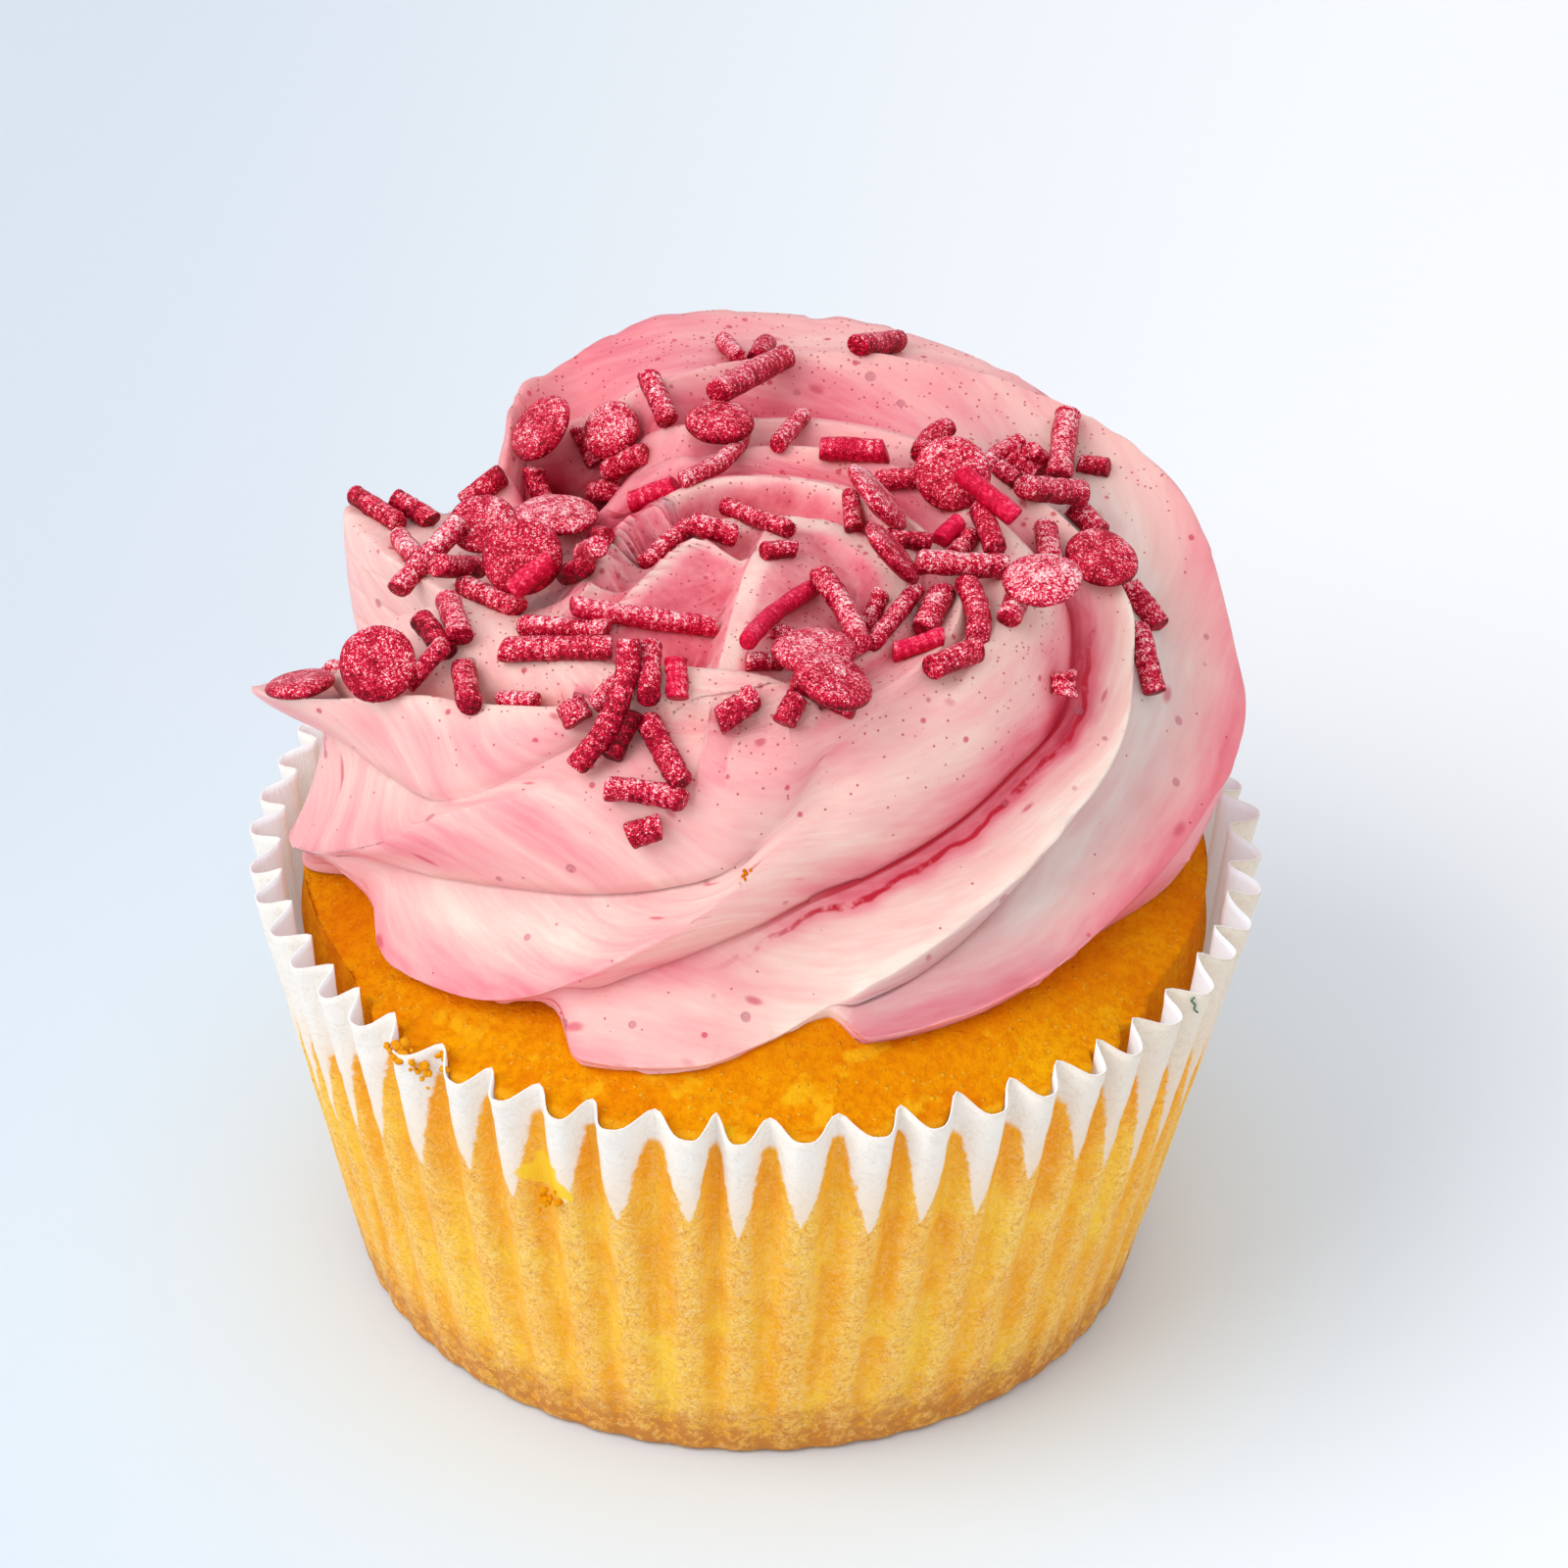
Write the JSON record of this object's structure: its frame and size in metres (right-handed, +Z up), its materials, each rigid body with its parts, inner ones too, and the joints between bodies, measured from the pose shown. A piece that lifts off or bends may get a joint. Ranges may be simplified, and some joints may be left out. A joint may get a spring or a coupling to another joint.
{
  "type": "cupcake",
  "caption": "Sponge cupcake in a pleated paper case with a wide piped buttercream swirl.",
  "frame": {"origin": "centre of the paper case's base, on the surface it stands on", "axes": "+Z up; azimuth 0 is +X and grows counter-clockwise seen from above; the side seen from -Y is the front"},
  "size_m": [0.0646, 0.0646, 0.0518],
  "materials": {
    "paper": "matte greaseproof paper, translucent where it touches the sponge",
    "sponge": "golden crumbly crust",
    "buttercream": "satin pale pink icing"
  },
  "bodies": {
    "root": {"paper_case": "paper", "sponge": "sponge", "buttercream": "buttercream"}
  },
  "joints": []
}
